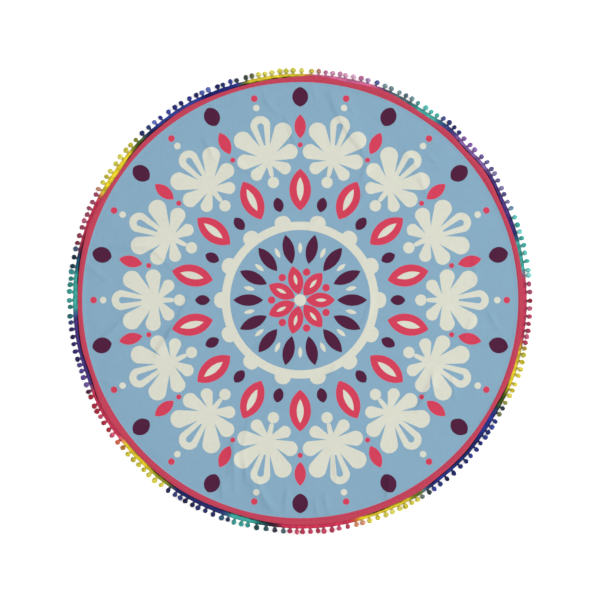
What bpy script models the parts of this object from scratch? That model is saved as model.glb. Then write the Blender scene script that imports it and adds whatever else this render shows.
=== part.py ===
"""Round beach towel, laid flat.

One round cloth with a hem turned all the way round, and one tape of pompoms that is
sewn under the hem and peeks out past it. Metres, +Z up. The origin is the middle of
the outline, on the surface that the towel lies on.
"""

import math
import random
from collections import namedtuple

import bmesh
import bpy
from mathutils import Vector

# ---------------------------------------------------------------- driving dimensions

CLOTH_RADIUS = 0.749        # mean radius of the hemmed cloth
CLOTH_THICKNESS = 0.0020    # one layer of towelling
HEM_WIDTH = 0.0145          # from the cloth's edge to the hem's inner line
HEM_THICKNESS = 0.0036      # the turned layers, pressed flat

TAPE_OVERHANG = 0.0125      # mean width of tape that shows past the cloth
TAPE_WIDTH = 0.0200
TAPE_THICKNESS = 0.0012
CLEARANCE = 0.0003          # between the tape and the cloth that lies on it

POMPOM_COUNT = 193
POMPOM_ROOT_WIDTH = 0.0080  # of the stem, where it leaves the tape
POMPOM_SEED = 116
POMPOM_STEPS = (0.74, 1.26)     # least and most from one to the next, beside the mean
POMPOM_LEAN_DEG = 9.0           # how far one leans to either side
POMPOM_LENGTHS = (0.88, 1.10)   # shortest and longest, beside the mean
POMPOM_WIDTHS = (0.86, 1.10)    # thinnest and thickest, beside the mean

INNER_SEGMENTS = 40         # steps around the plain middle of the cloth
RIM_SPLIT = 3               # each of them is this many steps at the rim
FINE_EDGE = 0.028           # longest edge left beside a crease
CREST_REACH = 0.0085        # points this close to a crease's line are drawn onto it
LEAST_FACE = 0.00005        # square metres that this leaves the faces beside them
CREASE_STEPS = 8            # straight bits that stand for a crease's curve

# ------------------------------------------------------------------- the uneven outline

# Where the cloth and the tape swell out or draw in. Angles run counterclockwise from
# +X, and a swell dies out over its spread on either side.
Swell = namedtuple("Swell", "at_deg spread_deg cloth tape")
SWELLS = (
    Swell(4, 16, -0.0010, -0.0025),
    Swell(22, 10, -0.0030, 0.0),
    Swell(35, 9, 0.0060, 0.0075),
    Swell(49, 7, 0.0050, 0.0070),
    Swell(68, 12, 0.0090, 0.0035),
    Swell(86, 9, 0.0070, -0.0010),
    Swell(106, 13, -0.0030, -0.0020),
    Swell(121, 8, 0.0030, 0.0010),
    Swell(145, 11, -0.0050, -0.0010),
    Swell(160, 9, 0.0040, -0.0005),
    Swell(181, 15, -0.0040, -0.0005),
    Swell(199, 8, -0.0045, -0.0030),
    Swell(210, 11, 0.0050, 0.0020),
    Swell(252, 14, -0.0040, 0.0),
    Swell(277, 16, 0.0030, 0.0015),
    Swell(301, 8, 0.0035, 0.0020),
    Swell(329, 13, -0.0075, -0.0040),
    Swell(350, 11, 0.0010, -0.0030),
)

# ---------------------------------------------------------------------- the soft creases

# Low ridges where the cloth was folded and hasn't settled. Each runs along a curve from
# its start past its bend to its end, and reaches to its spread on either side.
Crease = namedtuple("Crease", "start bend end height spread")
CREASES = (
    Crease((0.094, 0.712), (0.186, 0.570), (0.226, 0.430), 0.0042, 0.034),
    Crease((0.275, 0.690), (0.300, 0.650), (0.318, 0.605), 0.0022, 0.026),
    Crease((0.335, 0.500), (0.378, 0.448), (0.415, 0.391), 0.0026, 0.030),
    Crease((-0.345, -0.020), (-0.425, -0.100), (-0.492, -0.205), 0.0036, 0.034),
    Crease((-0.575, -0.060), (-0.640, -0.105), (-0.692, -0.155), 0.0026, 0.030),
    Crease((-0.640, 0.165), (-0.550, 0.185), (-0.460, 0.170), 0.0022, 0.030),
    Crease((-0.226, -0.450), (-0.232, -0.550), (-0.252, -0.660), 0.0028, 0.028),
    Crease((-0.176, -0.560), (-0.138, -0.650), (-0.080, -0.710), 0.0038, 0.034),
    Crease((0.296, -0.585), (0.294, -0.625), (0.286, -0.668), 0.0022, 0.026),
    Crease((0.455, -0.225), (0.430, -0.300), (0.388, -0.375), 0.0030, 0.032),
    Crease((-0.525, 0.268), (-0.430, 0.284), (-0.332, 0.290), 0.0022, 0.030),
    Crease((-0.310, 0.474), (-0.220, 0.452), (-0.132, 0.422), 0.0024, 0.030),
)

# ---------------------------------------------------------------- sections of the pieces

# Radii of the rings in the plain middle of the cloth.
MIDDLE_RINGS = (0.080, 0.180, 0.280, 0.380, 0.470, 0.560, 0.640, 0.695)

# Rings of the rim: how far in from the cloth's edge each lies, how high its underside is
# and how thick the cloth is there. The rim climbs onto the tape before the hem starts.
RIM_LIFT = TAPE_THICKNESS + CLEARANCE
Ring = namedtuple("Ring", "inset lift thickness")
RIM_RINGS = (
    Ring(HEM_WIDTH + 0.0140, 0.0, CLOTH_THICKNESS),
    Ring(HEM_WIDTH + 0.0020, RIM_LIFT, CLOTH_THICKNESS),
    Ring(HEM_WIDTH, RIM_LIFT, HEM_THICKNESS),
    Ring(0.0015, RIM_LIFT, HEM_THICKNESS),
    Ring(0.0, RIM_LIFT + 0.0003, HEM_THICKNESS * 0.70),
)

# Corners of the tape's section: how far in from its outer edge, and how high.
TAPE_CORNERS = (
    (TAPE_WIDTH, 0.0),
    (0.0, 0.0),
    (0.0, TAPE_THICKNESS),
    (TAPE_WIDTH, TAPE_THICKNESS),
)

# Sections of a pompom, from the tape outwards. It lies on its flat side, so every
# section starts at the surface, and its top is narrower than its foot.
Section = namedtuple("Section", "along foot_width top_width height")
POMPOM_SECTIONS = (
    Section(0.0030, 0.0056, 0.0044, 0.0040),
    Section(0.0060, 0.0146, 0.0104, 0.0126),
    Section(0.0148, 0.0150, 0.0106, 0.0134),
    Section(0.0196, 0.0066, 0.0044, 0.0062),
)

# ------------------------------------------------------------------------- the outline


def swell_at(angle, column):
    """Sum of the outline's swells at an angle, for the cloth or for the tape."""
    total = 0.0
    for swell in SWELLS:
        away = math.degrees(angle) - swell.at_deg
        away = abs((away + 180.0) % 360.0 - 180.0)
        if away < swell.spread_deg:
            fade = math.cos(math.pi / 2 * away / swell.spread_deg) ** 2
            total += getattr(swell, column) * fade
    return total


def cloth_edge(angle):
    """Radius of the hemmed cloth."""
    return CLOTH_RADIUS + swell_at(angle, "cloth")


def tape_edge(angle):
    """Radius of the tape's outer edge, where the pompoms leave it."""
    return CLOTH_RADIUS + TAPE_OVERHANG + swell_at(angle, "tape")


def at_angle(angle, radius, height=0.0):
    """The point at an angle and a radius around the middle of the towel."""
    return Vector((radius * math.cos(angle), radius * math.sin(angle), height))


# ------------------------------------------------------------------------- the creases


def crease_points(crease):
    """Points along a crease's curve, from its start through its bend to its end."""
    start, bend, end = (Vector(point) for point in (crease.start, crease.bend, crease.end))
    pull = bend * 2 - (start + end) / 2
    points = []
    for step in range(CREASE_STEPS + 1):
        t = step / CREASE_STEPS
        points.append(start * (1 - t) ** 2 + pull * (2 * t * (1 - t)) + end * t ** 2)
    return points


CREASE_LINES = [(crease, crease_points(crease)) for crease in CREASES]


def beside_line(points, place):
    """Distance from a place to a crease's line, how far along it, from 0 to 1, and the
    line's nearest point."""
    nearest = (math.inf, 0.0, points[0])
    for step, point in enumerate(points[:-1]):
        run = points[step + 1] - point
        share = min(max((place - point).dot(run) / run.length_squared, 0.0), 1.0)
        foot = point + run * share
        away = (foot - place).length
        if away < nearest[0]:
            nearest = (away, (step + share) / CREASE_STEPS, foot)
    return nearest


def crease_lift(place):
    """How high the creases raise the cloth at a place: full in the middle of a crease,
    nothing at its ends and past its spread."""
    lift = 0.0
    for crease, points in CREASE_LINES:
        away, along, _ = beside_line(points, place)
        if away < crease.spread:
            across = math.cos(math.pi / 2 * away / crease.spread) ** 2
            lift = max(lift, crease.height * across * math.sqrt(math.sin(math.pi * along)))
    return lift


def by_crease(place):
    """Whether a place lies within some crease's spread."""
    return any(beside_line(points, place)[0] < crease.spread
               for crease, points in CREASE_LINES)


# ---------------------------------------------------------------------------- the cloth


def open_rim(bm):
    """Edges of the open rim of the growing disc."""
    return [edge for edge in bm.edges if edge.is_boundary]


def only_verts(geometry):
    """The vertices among what an extrusion made."""
    return [item for item in geometry if isinstance(item, bmesh.types.BMVert)]


def grow_ring(bm, radius_at):
    """Extrude the disc's open rim to a radius that may depend on the angle."""
    ring = only_verts(bmesh.ops.extrude_edge_only(bm, edges=open_rim(bm))["geom"])
    for vert in ring:
        angle = math.atan2(vert.co.y, vert.co.x)
        vert.co = at_angle(angle, radius_at(angle))
    return ring


def split_rim(bm, radius):
    """Cut the edges of the open rim finer, with the new points on its circle."""
    bmesh.ops.subdivide_edges(bm, edges=open_rim(bm), cuts=RIM_SPLIT - 1)
    for edge in open_rim(bm):
        for vert in edge.verts:
            vert.co = vert.co.normalized() * radius


def refine_creases(bm):
    """Halve the long edges beside the creases until none is left."""
    while True:
        long_edges = []
        for edge in bm.edges:
            middle = (edge.verts[0].co + edge.verts[1].co) / 2
            if not edge.is_boundary and edge.calc_length() > FINE_EDGE:
                if by_crease(middle.to_2d()):
                    long_edges.append(edge)
        if not long_edges:
            return
        bmesh.ops.subdivide_edges(bm, edges=long_edges, cuts=1, use_grid_fill=True)
        many_sided = [face for face in bm.faces if len(face.verts) > 4]
        bmesh.ops.triangulate(bm, faces=many_sided)


def draw_onto_crests(bm):
    """Bring the points next to a crease's line onto it, so that its crest is an edge,
    but not where that would flatten a face to a sliver."""
    bmesh.ops.triangulate(bm, faces=bm.faces[:])
    for vert in bm.verts:
        for _, points in CREASE_LINES:
            away, _, foot = beside_line(points, vert.co.to_2d())
            if away < CREST_REACH and not vert.is_boundary:
                before = vert.co.copy()
                vert.co = foot.to_3d()
                if min(face.calc_area() for face in vert.link_faces) < LEAST_FACE:
                    vert.co = before


def build_cloth():
    """The round cloth: a disc that rises at its creases and climbs onto the tape at its
    rim, given its thickness upwards."""
    bm = bmesh.new()
    thickness = bm.verts.layers.float.new("thickness")
    bmesh.ops.create_circle(
        bm, cap_ends=True, cap_tris=True, segments=INNER_SEGMENTS, radius=MIDDLE_RINGS[0])
    for radius in MIDDLE_RINGS[1:]:
        grow_ring(bm, lambda angle: radius)
    split_rim(bm, MIDDLE_RINGS[-1])
    refine_creases(bm)
    draw_onto_crests(bm)
    for vert in bm.verts:
        vert[thickness] = CLOTH_THICKNESS
        vert.co.z = crease_lift(vert.co.to_2d())
    for ring in RIM_RINGS:
        for vert in grow_ring(bm, lambda angle: cloth_edge(angle) - ring.inset):
            vert[thickness] = ring.thickness
            vert.co.z = max(ring.lift, crease_lift(vert.co.to_2d()))
    bmesh.ops.triangulate(bm, faces=bm.faces[:])

    top = bmesh.ops.extrude_face_region(bm, geom=bm.faces[:], use_keep_orig=True)["geom"]
    for vert in only_verts(top):
        vert.co.z += vert[thickness]
    bmesh.ops.recalc_face_normals(bm, faces=bm.faces[:])
    return bm


# ----------------------------------------------------------------------------- the trim

Pompom = namedtuple("Pompom", "angle lean length width")


def pompoms():
    """Where each pompom leaves the tape, how far it leans and how large it is beside the
    mean, as uneven as tied by hand."""
    rng = random.Random(POMPOM_SEED)
    steps = [rng.uniform(*POMPOM_STEPS) for _ in range(POMPOM_COUNT)]
    return [
        Pompom(
            angle=sum(steps[:number + 1]) / sum(steps) * 2 * math.pi,
            lean=math.radians(rng.uniform(-POMPOM_LEAN_DEG, POMPOM_LEAN_DEG)),
            length=rng.uniform(*POMPOM_LENGTHS),
            width=rng.uniform(*POMPOM_WIDTHS),
        )
        for number in range(POMPOM_COUNT)
    ]


def grow_pompom(bm, root, pompom, side):
    """Grow a stem and a pompom out of its root, a face of the tape's outer edge. The side
    layer tells the root's left points, -1, from its right ones, +1."""
    outwards = at_angle(pompom.angle + pompom.lean, 1.0)
    sideways = Vector((-outwards.y, outwards.x, 0.0))
    start = at_angle(pompom.angle, tape_edge(pompom.angle))
    face = root
    for section in POMPOM_SECTIONS:
        face = bmesh.ops.extrude_discrete_faces(bm, faces=[face])["faces"][0]
        for vert in face.verts:
            on_foot = vert.co.z < TAPE_THICKNESS / 2
            width = (section.foot_width if on_foot else section.top_width) * pompom.width
            vert.co = start + outwards * section.along * pompom.length
            vert.co += sideways * vert[side] * width / 2
            vert.co.z = 0.0 if on_foot else section.height * pompom.width


def extrude_ring(bm, edges):
    """Extrude a closed ring of edges on the spot: its new points, edges and faces."""
    made = bmesh.ops.extrude_edge_only(bm, edges=edges)["geom"]
    verts = only_verts(made)
    faces = [item for item in made if isinstance(item, bmesh.types.BMFace)]
    new = set(verts)
    ring = [edge for edge in bm.edges if edge.verts[0] in new and edge.verts[1] in new]
    return verts, ring, faces


def build_trim():
    """The tape, a flat ring, with a stem and a pompom out of its outer edge at each
    pompom's place. Two stations on the ring bound each root."""
    row = pompoms()
    angles = []
    for pompom in row:
        half = POMPOM_ROOT_WIDTH / 2 / tape_edge(pompom.angle)
        angles += [pompom.angle - half, pompom.angle + half]

    bm = bmesh.new()
    station = bm.verts.layers.int.new("station")
    side = bm.verts.layers.int.new("side")
    verts = bmesh.ops.create_circle(bm, segments=len(angles), radius=1.0)["verts"]
    for number, vert in enumerate(verts):
        vert[station] = number
        vert[side] = 1 if number % 2 else -1
    first = edges = bm.edges[:]
    strips = []
    for number, (inset, height) in enumerate(TAPE_CORNERS):
        if number > 0:
            verts, edges, faces = extrude_ring(bm, edges)
            strips.append(faces)
        for vert in verts:
            angle = angles[vert[station]]
            vert.co = at_angle(angle, tape_edge(angle) - inset, height)
    bmesh.ops.bridge_loops(bm, edges=first + edges)
    bmesh.ops.recalc_face_normals(bm, faces=bm.faces[:])

    _, outer_edge, _ = strips
    roots = {}
    for face in outer_edge:
        stations = sorted({vert[station] for vert in face.verts})
        if stations[1] == stations[0] + 1 and stations[0] % 2 == 0:
            roots[stations[0] // 2] = face
    for number, pompom in enumerate(row):
        grow_pompom(bm, roots[number], pompom, side)
    bmesh.ops.recalc_face_normals(bm, faces=bm.faces[:])
    return bm


# --------------------------------------------------------------------------- the scene


def clear_scene():
    """Remove whatever the open file holds."""
    for thing in list(bpy.data.objects):
        bpy.data.objects.remove(thing, do_unlink=True)


def material(name, colour, roughness):
    """A plain finish for one piece."""
    finish = bpy.data.materials.new(name)
    finish.use_nodes = True
    shader = finish.node_tree.nodes["Principled BSDF"]
    shader.inputs["Base Color"].default_value = (*colour, 1.0)
    shader.inputs["Roughness"].default_value = roughness
    shader.inputs["Metallic"].default_value = 0.0
    return finish


def add_piece(name, bm, finish, collection, parent):
    """Put a finished bmesh into the scene as one named piece."""
    mesh = bpy.data.meshes.new(name)
    bm.to_mesh(mesh)
    bm.free()
    mesh.materials.append(finish)
    piece = bpy.data.objects.new(name, mesh)
    piece.parent = parent
    collection.objects.link(piece)
    return piece


clear_scene()
towel = bpy.data.collections.new("round_beach_towel")
bpy.context.scene.collection.children.link(towel)
middle = bpy.data.objects.new("towel_middle", None)
towel.objects.link(middle)

add_piece("towel_cloth", build_cloth(),
          material("printed_towelling", (0.24, 0.41, 0.54), 0.95), towel, middle)
add_piece("pompom_trim", build_trim(),
          material("dyed_cotton", (0.50, 0.12, 0.22), 0.90), towel, middle)
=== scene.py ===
"""The looks of a round beach towel that lies flat: its printed cloth with a stitched hem,
and the dip-dyed trim of tape and pompoms sewn under the hem. Metres, +Z up."""

import math
import random
from collections import namedtuple

import bmesh
import bpy
import numpy as np
from bmesh.types import BMEdge, BMFace, BMVert
from mathutils import Matrix, Vector, noise
from mathutils.bvhtree import BVHTree


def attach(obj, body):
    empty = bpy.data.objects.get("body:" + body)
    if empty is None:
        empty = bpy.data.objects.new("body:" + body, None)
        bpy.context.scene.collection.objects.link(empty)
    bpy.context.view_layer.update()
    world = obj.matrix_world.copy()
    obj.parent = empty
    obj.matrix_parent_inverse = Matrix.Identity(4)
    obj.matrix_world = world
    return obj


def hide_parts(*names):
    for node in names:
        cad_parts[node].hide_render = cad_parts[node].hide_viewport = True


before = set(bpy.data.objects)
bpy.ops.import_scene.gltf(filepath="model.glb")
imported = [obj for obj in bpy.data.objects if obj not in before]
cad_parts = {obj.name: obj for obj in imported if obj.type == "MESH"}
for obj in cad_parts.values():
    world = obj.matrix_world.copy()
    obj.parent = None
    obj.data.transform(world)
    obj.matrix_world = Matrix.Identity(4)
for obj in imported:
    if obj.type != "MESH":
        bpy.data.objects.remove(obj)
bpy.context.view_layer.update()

# ------------------------------------------------------------------------------ THE CLOTH
# One round piece of thin cotton towelling, 1.5 m across, printed on its face and left
# plain white on its back. It lies flat but for the soft creases of its old folds, and
# its rim rides up a little where it is sewn onto the tape of the trim.

CLOTH_RADIUS = 0.749
CLOTH_THICKNESS = 0.0020
HEM_WIDTH = 0.0145          # how far the turned edge reaches in, as the back shows it
HEM_THICKNESS = 0.0036
TAPE_THICKNESS = 0.0012
CLEARANCE = 0.0003          # between the tape and the hem that lies on it
RIM_LIFT = TAPE_THICKNESS + CLEARANCE

# Where the hemmed cloth and the tape swell out or draw in, angles counterclockwise.
Swell = namedtuple("Swell", "at_deg spread_deg cloth tape")
SWELLS = (
    Swell(4, 16, -0.0010, -0.0025),
    Swell(22, 10, -0.0030, 0.0),
    Swell(35, 9, 0.0060, 0.0075),
    Swell(49, 7, 0.0050, 0.0070),
    Swell(68, 12, 0.0090, 0.0035),
    Swell(86, 9, 0.0070, -0.0010),
    Swell(106, 13, -0.0030, -0.0020),
    Swell(121, 8, 0.0030, 0.0010),
    Swell(145, 11, -0.0050, -0.0010),
    Swell(160, 9, 0.0040, -0.0005),
    Swell(181, 15, -0.0040, -0.0005),
    Swell(199, 8, -0.0045, -0.0030),
    Swell(210, 11, 0.0050, 0.0020),
    Swell(252, 14, -0.0040, 0.0),
    Swell(277, 16, 0.0030, 0.0015),
    Swell(301, 8, 0.0035, 0.0020),
    Swell(329, 13, -0.0075, -0.0040),
    Swell(350, 11, 0.0010, -0.0030),
)


def degrees_away(angle, at_deg):
    """Degrees from an angle to a direction, the shorter way round."""
    return abs((math.degrees(angle) - at_deg + 180.0) % 360.0 - 180.0)


def swell_at(angle, column):
    """Sum of the outline's swells at an angle, for the cloth or for the tape."""
    total = 0.0
    for swell in SWELLS:
        away = degrees_away(angle, swell.at_deg)
        if away < swell.spread_deg:
            fade = math.cos(math.pi / 2 * away / swell.spread_deg) ** 2
            total += getattr(swell, column) * fade
    return total


def cloth_edge(angle):
    """Radius of the hemmed cloth."""
    return CLOTH_RADIUS + swell_at(angle, "cloth")


def at_angle(angle, radius, height=0.0):
    """The point at an angle and a radius around the middle of the towel."""
    return Vector((radius * math.cos(angle), radius * math.sin(angle), height))


def angle_of(place):
    """The angle of a place around the middle."""
    return math.atan2(place.y, place.x)


# The soft creases. Each runs along a curve from its start through its bend to its end, and
# falls off gently to the left of the way along it, and more steeply to the right. The
# folds are the main ones, which the towel's solid has as well.
Crease = namedtuple("Crease", "start bend end height gentle steep")
FOLDS = (
    Crease((0.094, 0.712), (0.186, 0.570), (0.226, 0.430), 0.0042, 0.034, 0.026),
    Crease((0.275, 0.690), (0.300, 0.650), (0.318, 0.605), 0.0022, 0.026, 0.018),
    Crease((0.335, 0.500), (0.378, 0.448), (0.415, 0.391), 0.0022, 0.030, 0.022),
    Crease((-0.345, -0.020), (-0.425, -0.100), (-0.492, -0.205), 0.0036, 0.034, 0.026),
    Crease((-0.575, -0.060), (-0.640, -0.105), (-0.692, -0.155), 0.0026, 0.030, 0.022),
    Crease((-0.640, 0.165), (-0.550, 0.185), (-0.460, 0.170), 0.0022, 0.030, 0.022),
    Crease((-0.226, -0.450), (-0.232, -0.550), (-0.252, -0.660), 0.0028, 0.028, 0.022),
    Crease((-0.176, -0.560), (-0.138, -0.650), (-0.080, -0.710), 0.0038, 0.034, 0.026),
    Crease((0.296, -0.585), (0.294, -0.625), (0.286, -0.668), 0.0022, 0.026, 0.018),
    Crease((0.455, -0.225), (0.430, -0.300), (0.388, -0.375), 0.0030, 0.032, 0.024),
    Crease((-0.525, 0.268), (-0.430, 0.284), (-0.332, 0.290), 0.0022, 0.030, 0.022),
    Crease((-0.310, 0.474), (-0.220, 0.452), (-0.132, 0.422), 0.0024, 0.030, 0.022),
)
FINE_CREASES = (
    Crease((0.141, 0.699), (0.164, 0.659), (0.188, 0.618), 0.0033, 0.024, 0.015),
    Crease((0.034, 0.739), (0.044, 0.706), (0.057, 0.669), 0.0026, 0.018, 0.014),
    Crease((-0.127, 0.719), (-0.101, 0.652), (-0.054, 0.628), 0.0030, 0.022, 0.015),
    Crease((-0.054, 0.628), (-0.034, 0.578), (-0.007, 0.505), 0.0032, 0.024, 0.015),
    Crease((-0.295, 0.672), (-0.288, 0.635), (-0.278, 0.592), 0.0026, 0.022, 0.015),
    Crease((-0.332, 0.551), (-0.305, 0.515), (-0.291, 0.474), 0.0033, 0.024, 0.015),
    Crease((-0.291, 0.474), (-0.228, 0.468), (-0.154, 0.421), 0.0028, 0.022, 0.015),
    Crease((0.419, 0.498), (0.442, 0.474), (0.462, 0.444), 0.0026, 0.018, 0.014),
    Crease((0.348, 0.508), (0.375, 0.471), (0.405, 0.434), 0.0028, 0.022, 0.015),
    Crease((0.395, 0.417), (0.415, 0.384), (0.432, 0.344), 0.0032, 0.022, 0.014),
    Crease((0.094, 0.706), (0.141, 0.598), (0.214, 0.498), 0.0046, 0.031, 0.016),
    Crease((0.228, 0.464), (0.214, 0.431), (0.208, 0.397), 0.0033, 0.022, 0.015),
    Crease((0.235, 0.377), (0.194, 0.327), (0.151, 0.273), 0.0038, 0.022, 0.015),
    Crease((0.101, 0.324), (0.067, 0.283), (0.023, 0.237), 0.0027, 0.022, 0.015),
    Crease((0.580, 0.153), (0.586, 0.109), (0.590, 0.056), 0.0027, 0.022, 0.015),
    Crease((0.241, 0.019), (0.224, -0.035), (0.204, -0.088), 0.0033, 0.022, 0.015),
    Crease((-0.724, 0.129), (-0.683, 0.096), (-0.630, 0.056), 0.0027, 0.022, 0.015),
    Crease((-0.643, 0.180), (-0.570, 0.183), (-0.503, 0.180), 0.0027, 0.022, 0.015),
    Crease((-0.503, 0.180), (-0.462, 0.143), (-0.419, 0.096), 0.0030, 0.022, 0.015),
    Crease((-0.503, 0.273), (-0.449, 0.280), (-0.389, 0.297), 0.0027, 0.022, 0.015),
    Crease((-0.362, 0.032), (-0.395, -0.028), (-0.415, -0.072), 0.0041, 0.028, 0.015),
    Crease((-0.405, -0.072), (-0.449, -0.125), (-0.486, -0.192), 0.0046, 0.028, 0.015),
    Crease((-0.281, -0.052), (-0.305, -0.082), (-0.328, -0.112), 0.0030, 0.018, 0.014),
    Crease((-0.570, -0.031), (-0.616, -0.085), (-0.680, -0.145), 0.0033, 0.024, 0.015),
    Crease((-0.114, -0.122), (-0.137, -0.145), (-0.157, -0.176), 0.0028, 0.018, 0.014),
    Crease((0.630, -0.025), (0.643, -0.058), (0.667, -0.102), 0.0030, 0.018, 0.014),
    Crease((0.724, -0.105), (0.704, -0.149), (0.687, -0.189), 0.0027, 0.018, 0.014),
    Crease((0.590, -0.045), (0.566, -0.085), (0.549, -0.139), 0.0026, 0.018, 0.014),
    Crease((0.509, -0.243), (0.516, -0.293), (0.523, -0.343), 0.0027, 0.018, 0.014),
    Crease((0.121, -0.209), (0.094, -0.253), (0.027, -0.286), 0.0046, 0.024, 0.015),
    Crease((0.449, -0.239), (0.419, -0.313), (0.382, -0.373), 0.0038, 0.024, 0.015),
    Crease((-0.670, -0.259), (-0.630, -0.279), (-0.583, -0.293), 0.0026, 0.022, 0.015),
    Crease((-0.164, -0.387), (-0.181, -0.440), (-0.198, -0.524), 0.0027, 0.022, 0.015),
    Crease((-0.224, -0.460), (-0.221, -0.547), (-0.221, -0.648), 0.0046, 0.024, 0.015),
    Crease((-0.191, -0.527), (-0.184, -0.567), (-0.181, -0.614), 0.0032, 0.018, 0.014),
    Crease((-0.261, -0.591), (-0.261, -0.628), (-0.258, -0.671), 0.0033, 0.018, 0.014),
    Crease((-0.141, -0.591), (-0.124, -0.651), (-0.080, -0.712), 0.0046, 0.024, 0.015),
    Crease((-0.044, -0.618), (-0.047, -0.665), (-0.054, -0.715), 0.0033, 0.020, 0.014),
    Crease((0.111, -0.504), (0.117, -0.554), (0.124, -0.614), 0.0027, 0.022, 0.014),
    Crease((0.080, -0.641), (0.090, -0.681), (0.101, -0.722), 0.0032, 0.018, 0.014),
    Crease((0.047, -0.668), (0.054, -0.695), (0.057, -0.725), 0.0030, 0.015, 0.011),
    Crease((0.298, -0.581), (0.295, -0.621), (0.291, -0.668), 0.0046, 0.022, 0.015),
)
CREASE_STEPS = 10
PINCH = 0.4             # how much of a crease is a pinched crest, beside a round one
WANDER = 0.0035         # how far a crease strays from its line, over WANDER_LENGTH
WANDER_LENGTH = 0.050
OTHER_NOISE = Vector((0.0, 0.0, 7.0))   # a step to noise that has nothing to do with it
WAVES = ((0.110, 0.0014), (0.038, 0.0014))  # washed cloth's faint waves: length, height
WAVES_DIE_OUT = (0.690, 0.728)  # over these radii, because the hem is sewn down flat

# Rings of the plain middle stand RING_STEP apart. The steps around start as
# MIDDLE_SEGMENTS, double at each radius of MIDDLE_SPLITS, and once more at the rim.
MIDDLE_RADIUS = 0.700
RING_STEP = 0.0125
MIDDLE_SEGMENTS = 48
MIDDLE_SPLITS = (0.10, 0.20, 0.40)

# Longest edges left beside a crease, and from how far up its flanks on.
FINE_EDGES = ((0.0075, 0.0), (0.0042, 0.3))

# The rim's rings, in from the cloth's edge: the height of the underside, the thickness,
# and how much the sewing puckers it. The hem's step, its two sewn-down rows and its
# rolled edge are in it.
Ring = namedtuple("Ring", "inset under thick pucker")
RIM_RINGS = (
    Ring(0.0330, 0.0000, CLOTH_THICKNESS, 0.0),
    Ring(0.0285, 0.0001, CLOTH_THICKNESS, 0.0),
    Ring(0.0240, 0.0006, CLOTH_THICKNESS, 0.1),
    Ring(0.0200, 0.0012, CLOTH_THICKNESS, 0.2),
    Ring(0.0168, RIM_LIFT, CLOTH_THICKNESS, 0.4),
    Ring(0.0150, RIM_LIFT, CLOTH_THICKNESS, 0.6),
    Ring(0.0144, RIM_LIFT, 0.0031, 0.8),
    Ring(0.0134, RIM_LIFT, HEM_THICKNESS, 1.0),
    Ring(0.0120, RIM_LIFT, 0.0032, 1.0),
    Ring(0.0106, RIM_LIFT, HEM_THICKNESS, 1.0),
    Ring(0.0076, RIM_LIFT, 0.0039, 0.8),
    Ring(0.0052, RIM_LIFT, HEM_THICKNESS, 1.0),
    Ring(0.0040, RIM_LIFT, 0.0032, 1.0),
    Ring(0.0026, RIM_LIFT, HEM_THICKNESS, 1.0),
    Ring(0.0012, RIM_LIFT + 0.0002, 0.0031, 0.8),
    Ring(0.0003, RIM_LIFT + 0.0007, 0.0021, 0.5),
    Ring(0.0000, RIM_LIFT + 0.0013, 0.0010, 0.3),
)
PUCKER = 0.00035        # how far the sewn hem puckers up and down, over PUCKER_LENGTH
PUCKER_LENGTH = 0.011


def crease_line(crease):
    """Points along a crease's curve, as an array."""
    start, bend, end = (np.array(point) for point in crease[:3])
    pull = 2 * bend - (start + end) / 2
    t = np.linspace(0, 1, CREASE_STEPS + 1)[:, None]
    return start * (1 - t) ** 2 + pull * 2 * t * (1 - t) + end * t ** 2


def crease_shares(crease, line, spots):
    """How far up a crease each spot lies: 1 on its crest halfway along, 0 beside it."""
    away = np.full(len(spots), np.inf)
    along = np.zeros(len(spots))
    width = np.full(len(spots), crease.gentle)
    for step in range(CREASE_STEPS):
        run = line[step + 1] - line[step]
        from_start = spots - line[step]
        share = np.clip(from_start @ run / (run @ run), 0, 1)
        gap = np.linalg.norm(from_start - share[:, None] * run, axis=1)
        left = run[0] * from_start[:, 1] > run[1] * from_start[:, 0]
        nearer = gap < away
        along = np.where(nearer, (step + share) / CREASE_STEPS, along)
        width = np.where(nearer, np.where(left, crease.gentle, crease.steep), width)
        away = np.minimum(gap, away)
    across = np.clip(away / width, 0, 1)
    flank = (1 - PINCH) * np.cos(math.pi / 2 * across) ** 2 + PINCH * (1 - across) ** 2
    return flank * np.sqrt(np.sin(math.pi * along))


def crease_heights(places):
    """How high the creases raise the cloth at each of many places, and how far up a
    crease's flank each lies."""
    heights, shares = np.zeros(len(places)), np.zeros(len(places))
    for crease in FOLDS + FINE_CREASES:
        line = crease_line(crease)
        near = np.all((places > line.min(axis=0) - crease.gentle)
                      & (places < line.max(axis=0) + crease.gentle), axis=1)
        share = crease_shares(crease, line, places[near])
        heights[near] += crease.height * share
        shares[near] = np.maximum(shares[near], share)
    return heights, shares


def wandering(place):
    """A place on the cloth, strayed a little, so that no crease is quite a smooth curve."""
    spot = Vector((place.x, place.y, 0.0)) / WANDER_LENGTH
    return (place.x + WANDER * noise.noise(spot),
            place.y + WANDER * noise.noise(spot + OTHER_NOISE))


def raise_creases(verts):
    """Lift these points by the creases, and inside the hem by the faint waves of cloth
    that has been washed. No point sinks."""
    lifts, _ = crease_heights(np.array([wandering(vert.co) for vert in verts]))
    fade_from, flat_from = WAVES_DIE_OUT
    for vert, lift in zip(verts, lifts):
        waves = sum(height * (noise.noise(vert.co / length) * 0.5 + 0.5)
                    for length, height in WAVES)
        share = (flat_from - vert.co.to_2d().length) / (flat_from - fade_from)
        vert.co.z += lift + waves * min(max(share, 0.0), 1.0)


def open_rim(bm):
    """Edges of the open rim of the growing disc."""
    return [edge for edge in bm.edges if edge.is_boundary]


def only(kind, geometry):
    """Those of one kind among the points, edges and faces that an operator made."""
    return [item for item in geometry if isinstance(item, kind)]


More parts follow.
